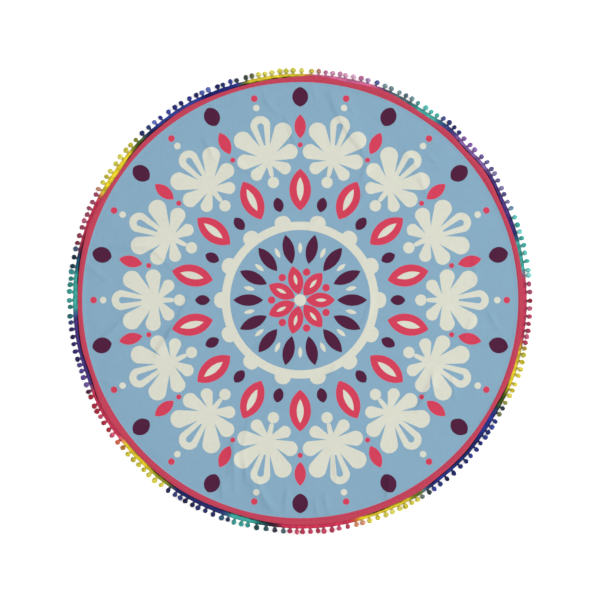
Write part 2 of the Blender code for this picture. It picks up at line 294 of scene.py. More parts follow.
def extrude_rim(bm, rim):
    """Extrude a rim's edges: the new points, and the edges that run along them."""
    made = bmesh.ops.extrude_edge_only(bm, edges=rim)["geom"]
    verts = only(BMVert, made)
    new = set(verts)
    ring = [edge for edge in only(BMEdge, made) if new.issuperset(edge.verts)]
    return verts, ring


def grow_ring(bm, rim, radius_at):
    """Extrude the disc's rim to a radius that depends on the angle."""
    verts, ring = extrude_rim(bm, rim)
    for vert in verts:
        angle = angle_of(vert.co)
        vert.co = at_angle(angle, radius_at(angle))
    return verts, ring


def split_ring(bm, rim, radius):
    """Cut a round rim's edges in two, with the new points on its circle."""
    bmesh.ops.subdivide_edges(bm, edges=rim, cuts=1)
    rim = open_rim(bm)
    for edge in rim:
        for vert in edge.verts:
            vert.co = vert.co.normalized() * radius
    return rim


def by_creases(edges, longest, least_share):
    """Those of the edges that are too long for where they lie on a crease."""
    edges = [edge for edge in edges if edge.calc_length() > longest]
    middles = [(edge.verts[0].co + edge.verts[1].co) / 2 for edge in edges]
    _, shares = crease_heights(np.array([wandering(middle) for middle in middles]))
    return [edge for edge, share in zip(edges, shares) if share > least_share]


def refine_creases(bm, faces):
    """Cut these faces finer where they are creased, but for the rim's. The keys of a
    dictionary hold each edge once, and in the same order every time."""
    inner = dict.fromkeys(
        edge for face in faces for edge in face.edges
        if max(vert.co.length for vert in edge.verts) < MIDDLE_RADIUS + RING_STEP)
    for longest, least_share in FINE_EDGES:
        fine = by_creases(inner, longest, least_share)
        cut = bmesh.ops.subdivide_edges(bm, edges=fine, cuts=1, use_grid_fill=True)["geom"]
        around = [edge for face in only(BMFace, cut) for edge in face.edges]
        inner = dict.fromkeys(only(BMEdge, cut) + around)
    bmesh.ops.triangulate(bm, faces=[face for face in bm.faces if len(face.verts) > 4])


def build_cloth():
    """The towel's cloth as one closed sheet. It grows flat from its middle, ring by ring,
    and is then given its underside and its creases."""
    bm = bmesh.new()
    under = bm.verts.layers.float.new("under")
    thick = bm.verts.layers.float.new("thick")
    bmesh.ops.create_circle(bm, cap_ends=True, cap_tris=True,
                            segments=MIDDLE_SEGMENTS, radius=RING_STEP)
    rim = open_rim(bm)
    splits = list(MIDDLE_SPLITS)
    radius = RING_STEP
    while radius < MIDDLE_RADIUS - RING_STEP / 2:
        radius += RING_STEP
        _, rim = grow_ring(bm, rim, lambda angle: radius)
        if splits and radius >= splits[0]:
            rim = split_ring(bm, rim, radius)
            splits.pop(0)
    rim = split_ring(bm, rim, radius)
    for vert in bm.verts:
        vert[thick] = CLOTH_THICKNESS
    for ring in RIM_RINGS:
        verts, rim = grow_ring(bm, rim, lambda angle: cloth_edge(angle) - ring.inset)
        for vert in verts:
            pucker = noise.noise(vert.co / PUCKER_LENGTH) * ring.pucker * PUCKER
            vert[under] = ring.under
            vert[thick] = ring.thick + pucker

    top = bmesh.ops.extrude_face_region(bm, geom=bm.faces[:], use_keep_orig=True)["geom"]
    for vert in only(BMVert, top):
        vert[under] += vert[thick]
    refine_creases(bm, only(BMFace, top))
    for vert in bm.verts:
        vert.co.z = vert[under]
    raise_creases(bm.verts)
    bmesh.ops.recalc_face_normals(bm, faces=bm.faces[:])
    return bm


def new_object(name, bm, materials, smooth=True):
    """A finished bmesh as an object in the scene."""
    mesh = bpy.data.meshes.new(name)
    for face in bm.faces:
        face.smooth = smooth
    bm.to_mesh(mesh)
    bm.free()
    for finish in materials:
        mesh.materials.append(finish)
    made = bpy.data.objects.new(name, mesh)
    bpy.context.scene.collection.objects.link(made)
    return made


def new_piece(name, bm, materials):
    """A piece of the towel, on its body."""
    piece = new_object(name, bm, materials)
    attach(piece, "root")
    return piece


class Wire:
    """A shader socket whose maths is written as Python expressions: every operator adds
    its Math node."""

    def __init__(self, finish, socket):
        self.finish = finish
        self.socket = socket

    def math(self, operation, *values):
        return self.finish.node("ShaderNodeMath", {"operation": operation}, (self, *values))

    def __add__(self, other):
        return self.math("ADD", other)

    def __sub__(self, other):
        return self.math("SUBTRACT", other)

    def __mul__(self, other):
        return self.math("MULTIPLY", other)

    def __truediv__(self, other):
        return self.math("DIVIDE", other)

    def __pow__(self, other):
        return self.math("POWER", other)

    def __neg__(self):
        return self * -1.0

    def __abs__(self):
        return self.math("ABSOLUTE")

    def __rsub__(self, other):
        return -self + other

    def least(self, other):
        return self.math("MINIMUM", other)

    def most(self, other):
        return self.math("MAXIMUM", other)

    def held(self):
        """Kept from 0 to 1."""
        return self.most(0.0).least(1.0)


# Noise about 0, with so many grains a metre, and so much from its lowest to its highest.
Mottle = namedtuple("Mottle", "grains amount detail roughness", defaults=(2.0, 0.5))


class Finish:
    """A material as it is put together around its Principled shader."""

    def __init__(self, name, roughness, sheen=0.0, specular=0.12):
        self.material = bpy.data.materials.new(name)
        self.material.use_nodes = True
        self.tree = self.material.node_tree
        self.shader = self.tree.nodes["Principled BSDF"]
        self.shader.inputs["Roughness"].default_value = roughness
        self.shader.inputs["Sheen Weight"].default_value = sheen
        self.shader.inputs["Specular IOR Level"].default_value = specular

    def node(self, kind, settings=(), inputs=(), output=0):
        """A node of this kind: its settings first, then its sockets' values or wires."""
        made = self.tree.nodes.new(kind)
        for name, value in dict(settings).items():
            setattr(made, name, value)
        pairs = inputs.items() if isinstance(inputs, dict) else enumerate(inputs)
        for key, value in pairs:
            if isinstance(value, Wire):
                self.tree.links.new(value.socket, made.inputs[key])
            else:
                made.inputs[key].default_value = value
        return Wire(self, made.outputs[output])

    def place(self):
        """Object coordinates, as a vector."""
        return self.node("ShaderNodeTexCoord", output="Object")

    def apart(self, vector):
        """A vector's three numbers."""
        split = self.node("ShaderNodeSeparateXYZ", inputs=(vector,))
        outputs = split.socket.node.outputs
        return [Wire(self, outputs[axis]) for axis in range(3)]

    def mottle(self, vector, mottle):
        """Noise at a place."""
        made = self.node("ShaderNodeTexNoise", {"noise_dimensions": "3D"}, {
            "Vector": vector, "Scale": mottle.grains,
            "Detail": mottle.detail, "Roughness": mottle.roughness,
        })
        return (made - 0.5) * mottle.amount

    def blend(self, share, first, second):
        """Two colours mixed by a share of the second."""
        return self.node("ShaderNodeMix", {"data_type": "RGBA"},
                         {0: share, 6: first, 7: second}, output=2)

    def shade(self, colour, amount):
        """A colour made lighter or darker by a factor."""
        return self.node("ShaderNodeVectorMath", {"operation": "SCALE"},
                         {0: colour, "Scale": amount})

    def finish(self, colour, height, depth):
        """Wire up the colour, and a bump of this depth."""
        bump = self.node("ShaderNodeBump", inputs={
            "Height": height, "Distance": depth, "Strength": 1.0})
        self.tree.links.new(colour.socket, self.shader.inputs["Base Color"])
        self.tree.links.new(bump.socket, self.shader.inputs["Normal"])


def linear(red, green, blue):
    """A colour of the eye's 0 to 255 scale as the shader's linear one."""
    scaled = [value / 255 for value in (red, green, blue)]
    bent = [v / 12.92 if v <= 0.04045 else ((v + 0.055) / 1.055) ** 2.4 for v in scaled]
    return (*bent, 1.0)


# The inks that are printed on the blue ground, each over those before it.
BLUE = linear(120, 154, 176)
INKS = {
    "border": linear(176, 57, 80),
    "coral": linear(191, 55, 80),
    "plum": linear(71, 22, 54),
    "cream": linear(197, 198, 184),
}

# The layout of the print, in metres from its middle. Each motif repeats count times
# around the middle, turned by half a step where turned is 1. Its foot stands out from the
# middle and to the side, in mirrored pairs, and it leans away from straight outwards. A
# motif with a foot is a drop that widens from its round foot to its round head, or a dot
# where it has no length, and one without is a petal with two points. Where cut is 1, it
# is cut out of that ink's shapes in the rows above.
Motif = namedtuple("Motif", "ink count turned out side lean_deg long foot wide cut")
MOTIFS = (
    Motif("coral", 7, 0, 0.020, 0.000, 0, 0.096, 0.000, 0.050, 0),
    Motif("cream", 7, 0, 0.052, 0.000, 0, 0.036, 0.000, 0.011, 0),
    Motif("coral", 7, 1, 0.096, 0.000, 0, 0.000, 0.025, 0.025, 0),
    Motif("cream", 1, 0, 0.000, 0.000, 0, 0.000, 0.040, 0.040, 0),
    Motif("plum", 14, 0, 0.124, 0.000, 0, 0.100, 0.000, 0.039, 0),
    Motif("cream", 14, 1, 0.156, 0.000, 0, 0.038, 0.000, 0.014, 0),
    Motif("cream", 14, 0, 0.240, 0.000, 0, 0.048, 0.000, 0.054, 0),
    Motif("plum", 14, 0, 0.302, 0.000, 0, 0.050, 0.000, 0.034, 0),
    Motif("coral", 14, 1, 0.300, 0.000, 0, 0.140, 0.000, 0.072, 0),
    Motif("cream", 14, 1, 0.332, 0.000, 0, 0.080, 0.000, 0.023, 0),
    Motif("cream", 14, 0, 0.404, 0.000, 0, 0.000, 0.038, 0.038, 0),
    Motif("cream", 14, 0, 0.430, 0.000, 0, 0.060, 0.014, 0.022, 0),
    Motif("cream", 14, 0, 0.502, 0.000, 0, 0.096, 0.020, 0.067, 0),
    Motif("cream", 14, 0, 0.494, 0.008, 41, 0.092, 0.018, 0.060, 0),
    Motif("cream", 14, 0, 0.484, 0.010, 83, 0.068, 0.016, 0.051, 0),
    Motif("cream", 14, 0, 0.472, 0.008, 127, 0.050, 0.014, 0.041, 0),
    Motif("cream", 14, 0, 0.534, 0.000, 0, 0.062, 0.006, 0.022, 1),
    Motif("cream", 14, 0, 0.660, 0.000, 0, 0.000, 0.022, 0.022, 0),
    Motif("coral", 14, 1, 0.542, 0.000, 0, 0.080, 0.000, 0.038, 0),
    Motif("coral", 14, 1, 0.520, 0.000, 0, 0.000, 0.017, 0.017, 0),
    Motif("plum", 14, 1, 0.648, 0.000, 0, 0.066, 0.000, 0.053, 0),
    Motif("coral", 14, 0, 0.692, 0.000, 0, 0.000, 0.022, 0.022, 0),
)
PRINT_MIDDLE = (0.0, 0.003, 0.0)    # the print sits a little off the cut cloth's middle
CREAM_RING = (0.235, 0.263)         # inner and outer radius
BORDER_RADIUS = 0.7300              # where the border band starts; it runs to the edge
INK_BLEED = 0.0009                  # width over which an ink's edge fades
INK_STRAY_X = Mottle(160.0, 0.0016)     # how the pile carries an ink's edge off its line
INK_STRAY_Y = Mottle(175.0, 0.0016)


def motif_outline(u, v, motif):
    """Distance outside a motif's outline, negative inside it. u runs to the side and v
    outwards, in the motif's own sector."""
    u, v = u - motif.side, v - motif.out
    lean = math.radians(motif.lean_deg)
    if lean:
        u, v = u * math.cos(lean) - v * math.sin(lean), u * math.sin(lean) + v * math.cos(lean)
    if motif.foot and not motif.long:
        return (u * u + v * v) ** 0.5 - motif.wide / 2
    if motif.foot:
        share = (v / motif.long).held()
        along = v - share * motif.long
        widening = share * (motif.wide - motif.foot) / 2
        return (u * u + along * along) ** 0.5 - widening - motif.foot / 2
    half_long, half_wide = motif.long / 2, motif.wide / 2
    bow = (half_long ** 2 + half_wide ** 2) / (2 * half_wide)
    across = (abs(u) if lean else u) + (bow - half_wide)
    along = v - half_long
    return (across * across + along * along) ** 0.5 - bow


def print_colour(finish):
    """The printed colour at every place of the face."""
    spot = finish.node("ShaderNodeVectorMath", {"operation": "SUBTRACT"},
                       (finish.place(), PRINT_MIDDLE))
    x, y, _ = finish.apart(spot)
    x = x + finish.mottle(spot, INK_STRAY_X)
    y = y + finish.mottle(spot, INK_STRAY_Y)
    radius = (x * x + y * y) ** 0.5
    angle = y.math("ARCTAN2", x)
    sectors = {}
    for motif in MOTIFS:
        key = (motif.count, motif.turned)
        if key not in sectors:
            half = math.pi / motif.count
            turn = angle + half if motif.turned else angle
            folded = abs(turn.math("WRAP", half, -half))
            sectors[key] = (radius * folded.math("SINE"), radius * folded.math("COSINE"))

    ring_middle = sum(CREAM_RING) / 2
    ring_half = (CREAM_RING[1] - CREAM_RING[0]) / 2
    outlines = {
        "cream": abs(radius - ring_middle) - ring_half,
        "border": BORDER_RADIUS - radius,
    }
    for motif in MOTIFS:
        outline = motif_outline(*sectors[motif.count, motif.turned], motif)
        if motif.cut:
            outline = outlines[motif.ink].most(-outline)
        elif motif.ink in outlines:
            outline = outlines[motif.ink].least(outline)
        outlines[motif.ink] = outline

    colour = BLUE
    for ink, tint in INKS.items():
        share = (0.5 - outlines[ink] / INK_BLEED).held()
        colour = finish.blend(share, colour, tint)
    return colour


# The towelling's short loops, which stand in rows, and how much painted shade darkens it
# between them.
LOOP_PITCHES = (0.0017, 0.0014)     # from row to row, and from loop to loop
LOOP_WAVER = Mottle(420.0, 2.2)     # how the rows waver, in radians of a row
LOOP_PILE = Mottle(900.0, 0.6)      # how unlike the loops are, beside LOOP_RELIEF
LOOP_RELIEF = 0.25
LOOP_DEPTH = 0.0005
FACE_LOOP_PAINTED_SHADE = 0.08
BACK_LOOP_PAINTED_SHADE = 0.10
FADED = Mottle(7.0, 0.05, 3.0)      # the print's paler and deeper patches, large and small
PATCHY = Mottle(95.0, 0.10, 3.0)
UNPRINTED = linear(236, 236, 230)
STRUCK_THROUGH = 0.16               # how much of the print shows on the back


def towelling(name):
    """A finish for towelling, the place on it, and how high its loops stand, about 0."""
    finish = Finish(name, roughness=0.95, sheen=0.08)
    spot = finish.place()
    x, y, _ = finish.apart(spot)
    waver = finish.mottle(spot, LOOP_WAVER)
    rows = (x * (2 * math.pi / LOOP_PITCHES[0]) + waver).math("SINE")
    columns = (y * (2 * math.pi / LOOP_PITCHES[1]) - waver).math("SINE")
    return finish, spot, rows * columns * LOOP_RELIEF + finish.mottle(spot, LOOP_PILE)


face_finish, spot, loops = towelling("printed_towelling")
worn = face_finish.mottle(spot, FADED) + face_finish.mottle(spot, PATCHY)
# The print with its paler and deeper patches, and painted shade between the loops.
printed = face_finish.shade(print_colour(face_finish), worn + loops * FACE_LOOP_PAINTED_SHADE + 1.0)
face_finish.finish(printed, loops, LOOP_DEPTH)

back_finish, spot, loops = towelling("plain_towelling_back")
struck = back_finish.blend(STRUCK_THROUGH, UNPRINTED, print_colour(back_finish))
# The plain back, with painted shade between the loops.
plain = back_finish.shade(struck, loops * BACK_LOOP_PAINTED_SHADE + 1.0)
back_finish.finish(plain, loops, LOOP_DEPTH)

cloth_mesh = build_cloth()
for face in cloth_mesh.faces:
    middle = face.calc_center_median()
    from_edge = cloth_edge(angle_of(middle)) - middle.to_2d().length
    faces_down = face.normal.z < -0.5
    face.material_index = int(faces_down and from_edge > HEM_WIDTH)
cloth_surface = BVHTree.FromBMesh(cloth_mesh)
cloth = new_piece("towel_sheet", cloth_mesh, [face_finish.material, back_finish.material])
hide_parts("towel_cloth")

# ------------------------------------------------------------------------ THE HEM'S SEAMS
# Two rows of lockstitch in coral cotton thread go round the hem: the inner one holds the
# turned edge down, and the outer one holds the tape of the trim under it.

STITCH_PITCH = 0.0042
STITCH_LENGTH = 0.0031
STITCH_WIDTH = 0.0009
STITCH_HEIGHT = 0.0006
SEAM_INSETS = (0.0120, 0.0040)  # in from the cloth's edge
SEAM_DROP = 0.05            # from this height each stitch is set down onto the cloth
STITCH_STAND = 0.25         # of its height, from the cloth up to its middle
STITCH_SWING = 0.12         # how far it may lie off its row's direction, in radians
STITCH_SIDES = 5
STITCH_BANDS = 4
SEAM_SEED = 5
UP = Vector((0.0, 0.0, 1.0))


def add_placed(bm, shape, matrix):
    """Join a small shape to a piece, placed by a matrix. The shape is freed."""
    carrier = bpy.data.meshes.new("carrier")
    shape.transform(matrix)
    shape.to_mesh(carrier)
    shape.free()
    bm.from_mesh(carrier)
    bpy.data.meshes.remove(carrier)


def new_stitch():
    """One bead of thread, which lies along X."""
    stitch = bmesh.new()
    size = Matrix.Diagonal((STITCH_LENGTH / 2, STITCH_WIDTH / 2, STITCH_HEIGHT / 2, 1.0))
    bmesh.ops.create_uvsphere(stitch, u_segments=STITCH_SIDES, v_segments=STITCH_BANDS,
                              radius=1.0, matrix=size)
    return stitch


seam_mesh = bmesh.new()
seam_luck = random.Random(SEAM_SEED)
stitch = new_stitch()
for inset in SEAM_INSETS:
    count = int(2 * math.pi * (CLOTH_RADIUS - inset) / STITCH_PITCH)
    for number in range(count):
        angle = 2 * math.pi * number / count
        above = at_angle(angle, cloth_edge(angle) - inset, SEAM_DROP)
        spot, outwards, _, _ = cloth_surface.ray_cast(above, -UP)
        swing = seam_luck.uniform(-STITCH_SWING, STITCH_SWING)
        turn = Matrix.Rotation(angle + math.pi / 2 + swing, 4, "Z")
        tilt = UP.rotation_difference(outwards).to_matrix().to_4x4()
        place = Matrix.Translation(spot + outwards * STITCH_HEIGHT * STITCH_STAND)
        add_placed(seam_mesh, stitch.copy(), place @ tilt @ turn)
stitch.free()

THREAD_COLOURS = (linear(196, 50, 78), linear(226, 92, 112))
THREAD_TWIST = Mottle(2600.0, 1.0, 1.0)
THREAD_DEPTH = 0.0002
thread_finish = Finish("sewing_thread", roughness=0.6, sheen=0.1, specular=0.3)
twist = thread_finish.mottle(thread_finish.place(), THREAD_TWIST)
thread_colour = thread_finish.blend(twist + 0.5, *THREAD_COLOURS)
thread_finish.finish(thread_colour, twist, THREAD_DEPTH)
seams = new_piece("hem_seams", seam_mesh, [thread_finish.material])
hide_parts("towel_cloth")

# ------------------------------------------------------------------------------- THE TAPE
# A woven cotton tape, 20 mm wide, with a corded outer edge that carries the pompoms. It
# is sewn under the hem all the way round, and its dyes run from one into the next,
# because tape and pompoms were dipped together, a stretch at a time.

TAPE_WIDTH = 0.0200
TAPE_OVERHANG = 0.0125      # how far it peeks out from under a cloth of CLOTH_RADIUS
TAPE_SEGMENTS = 1536
TAPE_STRAY = 0.0006         # how far its outer edge wavers
TAPE_STRAY_GRAINS = 55.0    # how finely, as grains of noise over a radius of the towel

# Its section, from the hidden inner edge round the underside to the cord and back: how far in
# from the outer edge, how high, and the painted shade or light there, darker on the cord's
# outer edge and in the groove beside it, lighter on the cord's top.
INNER_EDGE = TAPE_WIDTH - 0.0006
TAPE_SECTION = (
    (TAPE_WIDTH, 0.0003, 1.00), (INNER_EDGE, 0.0, 1.00), (0.0010, 0.0, 1.00),
    (0.0002, 0.0004, 0.80), (0.0, 0.0010, 0.80), (0.0006, 0.0016, 1.00),
    (0.0014, 0.0018, 1.06), (0.0022, 0.0015, 1.00), (0.0030, 0.0010, 0.60),
    (0.0038, 0.0011, 1.00), (INNER_EDGE, TAPE_THICKNESS, 1.00), (TAPE_WIDTH, 0.0009, 1.00),
)

DYES = {
    "crimson": linear(198, 42, 78),
    "rose": linear(213, 99, 153),
    "yellow": linear(217, 196, 38),
    "teal": linear(57, 162, 156),
    "blue": linear(35, 50, 142),
    "navy": linear(32, 42, 110),
    "violet": linear(63, 41, 121),
    "lilac": linear(120, 80, 160),
    "slate": linear(96, 127, 138),
}
UNDYED = linear(250, 248, 245)[:3]

# Each bath took a stretch of the tape and of the row of pompoms, which hung unevenly in
# it: from and to in degrees, and how strongly it dyed. Where two overlap, they mix.
Bath = namedtuple("Bath", "dye tape balls")
BATHS = (
    Bath("crimson", (349.4, 366.8, 0.80), (348.2, 364.2, 0.80)),
    Bath("slate", (352.0, 368.0, 0.06), (346.0, 366.0, 0.28)),
    Bath("teal", (7.4, 17.5, 1.00), (6.8, 22.8, 0.84)),
    Bath("violet", (16.5, 34.6, 0.90), (22.8, 38.5, 0.44)),
    Bath("slate", (20.0, 22.0, 0.30), (21.0, 37.0, 0.40)),
    Bath("lilac", (34.8, 48.4, 0.86), (38.6, 46.8, 0.95)),
    Bath("navy", (47.6, 52.0, 0.70), (47.2, 51.8, 1.00)),
    Bath("teal", (51.4, 60.4, 0.90), (52.4, 59.6, 0.96)),
    Bath("slate", (59.8, 67.4, 1.20), (59.8, 71.0, 1.12)),
    Bath("navy", (66.6, 69.2, 0.30), (71.0, 73.2, 0.70)),
    Bath("rose", (67.6, 88.0, 0.95), (73.4, 86.4, 0.57)),
    Bath("slate", (75.0, 80.0, 0.12), (73.0, 105.0, 0.19)),
    Bath("yellow", (87.6, 104.8, 0.95), (86.6, 104.4, 0.68)),
    Bath("blue", (104.4, 132.6, 0.88), (103.6, 132.8, 0.90)),
    Bath("navy", (107.5, 113.0, 0.30), (109.5, 112.5, 0.50)),
    Bath("navy", (112.8, 116.0, 0.50), (118.4, 121.6, 0.60)),
    Bath("slate", (130.5, 137.5, 1.20), (131.0, 137.0, 0.70)),
    Bath("yellow", (134.5, 152.2, 1.00), (133.6, 151.2, 0.82)),
    Bath("crimson", (152.6, 168.0, 0.92), (151.6, 167.0, 0.78)),
    Bath("slate", (150.0, 154.0, 0.10), (151.6, 167.0, 0.24)),
    Bath("slate", (162.0, 170.0, 0.10), (134.0, 170.5, 0.20)),
    Bath("navy", (166.5, 172.0, 0.40), (166.5, 171.0, 0.40)),
    Bath("teal", (168.4, 183.6, 1.00), (167.8, 184.6, 1.38)),
    Bath("violet", (183.4, 202.2, 0.96), (184.8, 202.6, 1.12)),
    Bath("crimson", (202.4, 217.8, 0.87), (202.6, 219.2, 1.02)),
    Bath("yellow", (218.4, 235.0, 0.98), (218.2, 234.8, 0.80)),
    Bath("slate", (229.5, 235.5, 0.50), (203.0, 236.0, 0.16)),
    Bath("navy", (235.4, 250.8, 1.02), (235.2, 250.6, 1.30)),
    Bath("teal", (250.8, 261.0, 1.00), (250.4, 262.0, 1.12)),
    Bath("slate", (259.6, 264.0, 1.40), (259.4, 266.4, 1.40)),
    Bath("crimson", (262.4, 284.2, 0.92), (265.8, 283.8, 0.76)),
    Bath("slate", (262.0, 264.0, 0.20), (268.0, 302.0, 0.16)),
    Bath("yellow", (284.0, 302.0, 1.00), (283.8, 303.4, 0.80)),
    Bath("slate", (299.8, 305.6, 1.00), (302.8, 305.6, 0.70)),
    Bath("blue", (304.6, 330.8, 1.00), (304.0, 332.0, 1.30)),
    Bath("slate", (313.0, 323.6, 0.38), (303.5, 329.0, 0.24)),
    Bath("slate", (330.2, 336.0, 1.35), (331.0, 348.0, 0.12)),
    Bath("yellow", (332.6, 349.2, 0.96), (330.4, 348.4, 0.86)),
)
SOAK_DEG = 3.0              # over which a bath's colour comes in

# Stretches where a painted shadow of the hem lies on the tape as a dark line beside it, from
# and to in degrees, how much light it takes off there, and how far out from the hem the dark
# line fades.
HEM_SHADOW_STRETCHES = ((24, 47), (91, 108), (125, 142), (163, 176), (185, 207), (228, 237), (249, 263),
         (286, 297), (305, 322), (331, 340))
HEM_SHADOW_DEPTH = 0.93
HEM_SHADOW_FADE = (0.0034, 0.0050)
HEM_SHADOW_MEAN = 0.85            # of its full depth, from which it varies by HEM_SHADOW_SPREAD
HEM_SHADOW_SPREAD = 0.6
HEM_SHADOW_GRAINS = 40.0


def tape_edge(angle):
    """Radius of the tape's outer edge, where the pompoms leave it."""
    return CLOTH_RADIUS + TAPE_OVERHANG + swell_at(angle, "tape")


def share_inside(angle, start, end):
    """How much of the dye of a stretch from start to end, in degrees, an angle has: from 0
    outside it to 1 inside."""
    inside = (end - start) / 2 - degrees_away(angle, (start + end) / 2)
    return min(max(inside / SOAK_DEG + 0.5, 0.0), 1.0)


def dye_at(angle, part, strength=1.0):
    """The colour at an angle of the tape or the balls: what the baths there leave of the
    white cotton's."""
    colour = UNDYED
    for bath in BATHS:
        start, end, depth = getattr(bath, part)
        depth *= share_inside(angle, start, end) * strength
        colour = [light * ink ** depth for light, ink in zip(colour, DYES[bath.dye])]
    return colour


def uneven(angle, grains):
    """Noise from about -1 to 1 that comes full circle around the towel."""
    return noise.noise(at_angle(angle, grains))


def painted_hem_shadow_at(angle):
    """How much light the hem's painted shadow takes off on the tape beside the hem."""
    deep = max(share_inside(angle, start, end) for start, end in HEM_SHADOW_STRETCHES)
    return HEM_SHADOW_DEPTH * deep * min(uneven(angle, HEM_SHADOW_GRAINS) * HEM_SHADOW_SPREAD + HEM_SHADOW_MEAN, 1.0)


def shaded(colour, shade):
    """A dyed colour made darker or lighter by painted shade or light, as a point of a mesh
    holds it.
    """
    return (*[value * shade for value in colour], 1.0)


def build_tape():
    """The tape as a closed ring, swept round from the points of its section."""
    bm = bmesh.new()
    dye = bm.verts.layers.float_color.new("dye")
    # The hem's painted shadow on the tape, stored for the tape's finish.
    painted_hem_shadow = bm.verts.layers.float.new("painted_hem_shadow")
    from_hem = bm.verts.layers.float.new("from_hem")
    rim = bmesh.ops.create_circle(bm, segments=TAPE_SEGMENTS, radius=1.0)["verts"]
    first = edges = bm.edges[:]
    for number, (inset, height, shade) in enumerate(TAPE_SECTION):
        if number > 0:
            rim, edges = extrude_rim(bm, edges)
        for vert in rim:
            angle = angle_of(vert.co)
            stray = uneven(angle, TAPE_STRAY_GRAINS) * TAPE_STRAY
            radius = tape_edge(angle) + stray - inset
            vert.co = at_angle(angle, radius, height)
            # Each point holds the dye together with the section's painted shade or light.
            vert[dye] = shaded(dye_at(angle, "tape"), shade)
            vert[painted_hem_shadow] = painted_hem_shadow_at(angle)
            vert[from_hem] = radius - cloth_edge(angle)
    bmesh.ops.bridge_loops(bm, edges=first + edges)
    bmesh.ops.recalc_face_normals(bm, faces=bm.faces[:])
    return bm


def stored(finish, name, output="Fac"):
    """What the mesh holds under a name: a number, or a colour from the output Color."""
    return finish.node("ShaderNodeAttribute", {"attribute_name": name}, output=output)


WEAVE_PITCH = 0.0021        # from chevron to chevron along the tape
WEAVE_BAND = 0.0050         # from band to band of chevrons across it
WEAVE_SLANT = 3.0           # how far they slant within a band, in radians of a chevron
WEAVE_RELIEF = 0.3
WEAVE_FLAWS = Mottle(1400.0, 0.5)
WEAVE_DEPTH = 0.0005
# Painted shade and light that follow the chevrons' relief.
WEAVE_PAINTED_SHADE = 0.06
SOAKED_PATCHES = Mottle(60.0, 1.4, 3.0)
SOAKED_YARNS = Mottle(900.0, 0.3)

tape_finish = Finish("dyed_tape", roughness=0.9, sheen=0.1)
spot = tape_finish.place()
x, y, _ = tape_finish.apart(spot)
around = y.math("ARCTAN2", x) * (2 * math.pi * CLOTH_RADIUS / WEAVE_PITCH)
outwards = (x * x + y * y) ** 0.5 * (2 * math.pi / WEAVE_BAND)
chevron = (around + abs(outwards.math("SINE")) * WEAVE_SLANT).math("SINE")
weave = chevron * WEAVE_RELIEF + tape_finish.mottle(spot, WEAVE_FLAWS)
soaked = tape_finish.mottle(spot, SOAKED_PATCHES) + tape_finish.mottle(spot, SOAKED_YARNS)
# Painted shadow of the hem: a dark line on the tape beside the hem, which fades out beyond it.
# left is the light it leaves.
beyond = (stored(tape_finish, "from_hem") - HEM_SHADOW_FADE[0]) / (HEM_SHADOW_FADE[1] - HEM_SHADOW_FADE[0])
left = 1.0 - stored(tape_finish, "painted_hem_shadow") * (1.0 - beyond).held()
# What each point holds: the dye with the section's painted shade and light.
tape_dye_and_painted_shade = stored(tape_finish, "dye", "Color")
# The random soaking, the chevrons' painted shade and the hem's painted shadow.
tape_colour = tape_finish.shade(tape_dye_and_painted_shade, (soaked + chevron * WEAVE_PAINTED_SHADE + 1.0) * left)
tape_finish.finish(tape_colour, weave, WEAVE_DEPTH)
tape = new_piece("trim_tape", build_tape(), [tape_finish.material])
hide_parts("pompom_trim")

# ---------------------------------------------------------------------------- THE POMPOMS
# 193 small pompoms of cotton yarn, each tied to a short stem of twisted yarn that is sewn
# to the tape's cord. They were tied by hand, so no two are alike or evenly apart.

POMPOM_COUNT = 193
POMPOM_SEED = 116
POMPOM_STEPS = (0.74, 1.26)     # these and the next two are beside the mean
POMPOM_LENGTHS = (0.88, 1.10)
POMPOM_WIDTHS = (0.86, 1.10)
POMPOM_LEAN_DEG = 9.0

# Along the stem: how far out from the tape's edge, how wide and how high. It spreads on
# the tape's cord and is drawn together where the ball is tied on.
STEM_SECTIONS = ((-0.0016, 0.0122, 0.0024), (0.0014, 0.0088, 0.0038), (0.0046, 0.0072, 0.0054))
STEM_SIDES = 12             # every other one is the furrow between two strands
STEM_FURROW = 0.80          # how far out a furrow is, beside a strand
STEM_TWIST_DEG = 35.0

BALL_START = 0.0011         # from the tape's edge to the ball's near side
BALL_END = 0.0196           # and to its far side
BALL_WIDTH = 0.0178
BALL_SAG = 0.90             # its height beside its width
BALL_FOOT = 0.0002          # how high its lowest tufts lie
TUFTS = (0.88, 1.10)        # how far out its surface is: hollows, and tips of tufts
# Painted shade in the hollows between tufts and in the stem's furrows, and painted light on
# the tips.
TUFT_PAINTED_SHADING = (0.62, 1.26)  # the hollows are darker and the tips lighter
SOAKED = (0.64, 1.36)       # how deep the dye took on the palest and the deepest ball
HUNG_ASTRAY = 0.034         # radians round the towel from a ball to where it hung to dye
DYEING_SEED = 23

Pompom = namedtuple("Pompom", "angle lean length width")


def pompoms():
    """Every pompom's place on the tape, lean and size beside the mean."""
    luck = random.Random(POMPOM_SEED)
    steps = [luck.uniform(*POMPOM_STEPS) for _ in range(POMPOM_COUNT)]
    return [
        Pompom(
            angle=sum(steps[:number + 1]) / sum(steps) * 2 * math.pi,
            lean=math.radians(luck.uniform(-POMPOM_LEAN_DEG, POMPOM_LEAN_DEG)),
            length=luck.uniform(*POMPOM_LENGTHS),
            width=luck.uniform(*POMPOM_WIDTHS),
        )
        for number in range(POMPOM_COUNT)
    ]


def pompom_frame(pompom):
    """From the pompom's own axes, its length along +Z, to the towel's."""
    start = at_angle(pompom.angle, tape_edge(pompom.angle))
    outwards = at_angle(pompom.angle + pompom.lean, 1.0)
    sideways = Vector((-outwards.y, outwards.x, 0.0))
    axes = Matrix((sideways, UP, outwards)).transposed()
    return Matrix.Translation(start) @ axes.to_4x4()


